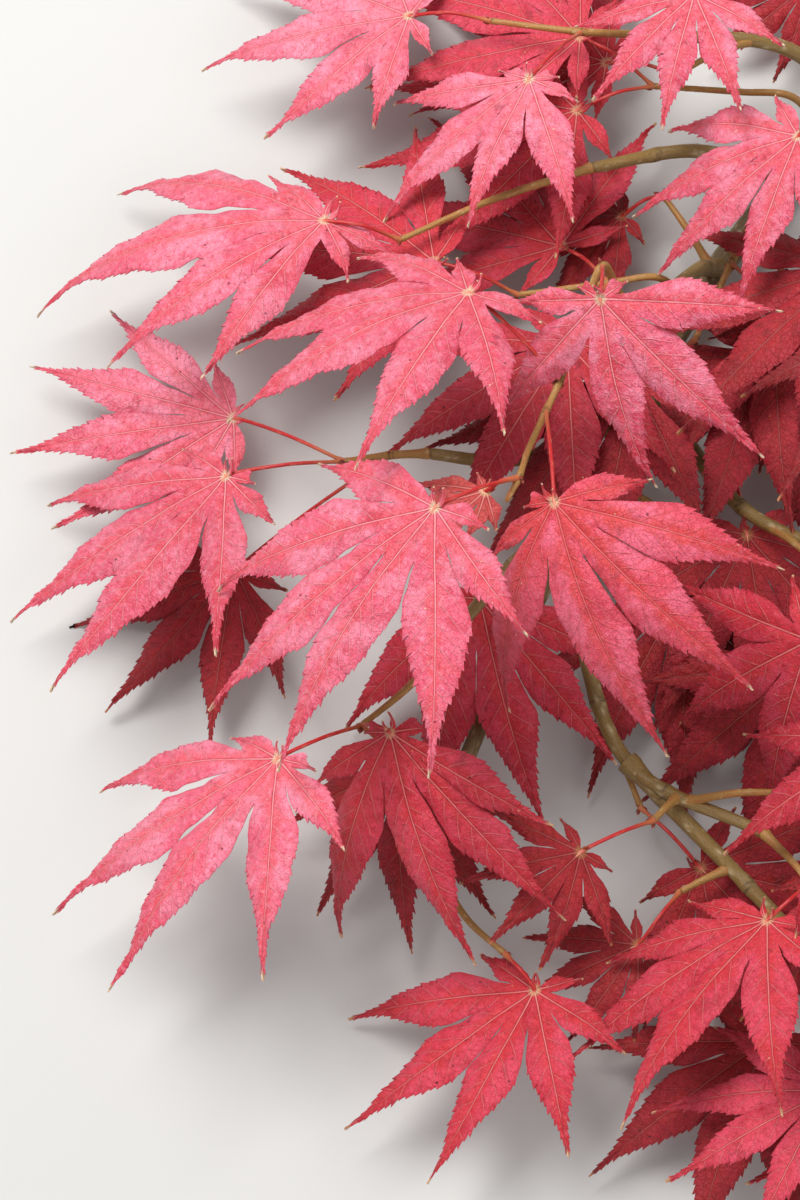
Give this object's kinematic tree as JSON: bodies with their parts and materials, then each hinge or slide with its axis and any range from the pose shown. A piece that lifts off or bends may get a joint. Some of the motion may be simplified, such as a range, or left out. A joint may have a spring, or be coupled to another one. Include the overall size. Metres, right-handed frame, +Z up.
{
  "type": "cut leafy branch of japanese maple",
  "caption": "Cut branch of japanese maple in red autumn leaf, lying flat: a thin tapering stem, side boughs, and drooping sprays of deeply lobed, saw-toothed leaves.",
  "frame": {"origin": "on the surface that the branch lies on, under the centre of its bounding box", "axes": "+Z up from the surface it lies on, +Y from the leafy tip towards the end with the cut, +X to the right of the view, towards the side that the stem's cut end is on"},
  "size_m": [0.223, 0.3262, 0.0911],
  "materials": {
    "wood": "thin olive brown bark, satin, with small pale pores and dark rings at the nodes",
    "foliage": "thin soft leaf, pinkish red to crimson, with pale midribs, dull satin sheen"
  },
  "bodies": {
    "root": {"bough_bottom_right": "wood", "bough_front": "wood", "bough_left": "wood", "bough_lower": "wood", "bough_lower_right": "wood", "bough_right": "wood", "bough_top": "wood", "bough_top_right": "wood", "bough_upper_left": "wood", "bough_upper_right": "wood", "layer_back": "foliage", "layer_bottom": "foliage", "layer_centre": "foliage", "layer_edge": "foliage", "layer_high_top": "foliage", "layer_low": "foliage", "layer_low_edge": "foliage", "layer_right": "foliage", "layer_stem_edge": "foliage", "layer_top": "foliage", "layer_upper": "foliage", "layer_upper_edge": "foliage", "main_stem": "wood", "spray_bottom": "foliage", "spray_bottom_right": "foliage", "spray_front": "foliage", "spray_left": "foliage", "spray_lower": "foliage", "spray_lower_right": "foliage", "spray_middle": "foliage", "spray_right": "foliage", "spray_top": "foliage", "spray_top_right": "foliage", "spray_upper_left": "foliage", "spray_upper_right": "foliage"}
  },
  "joints": []
}
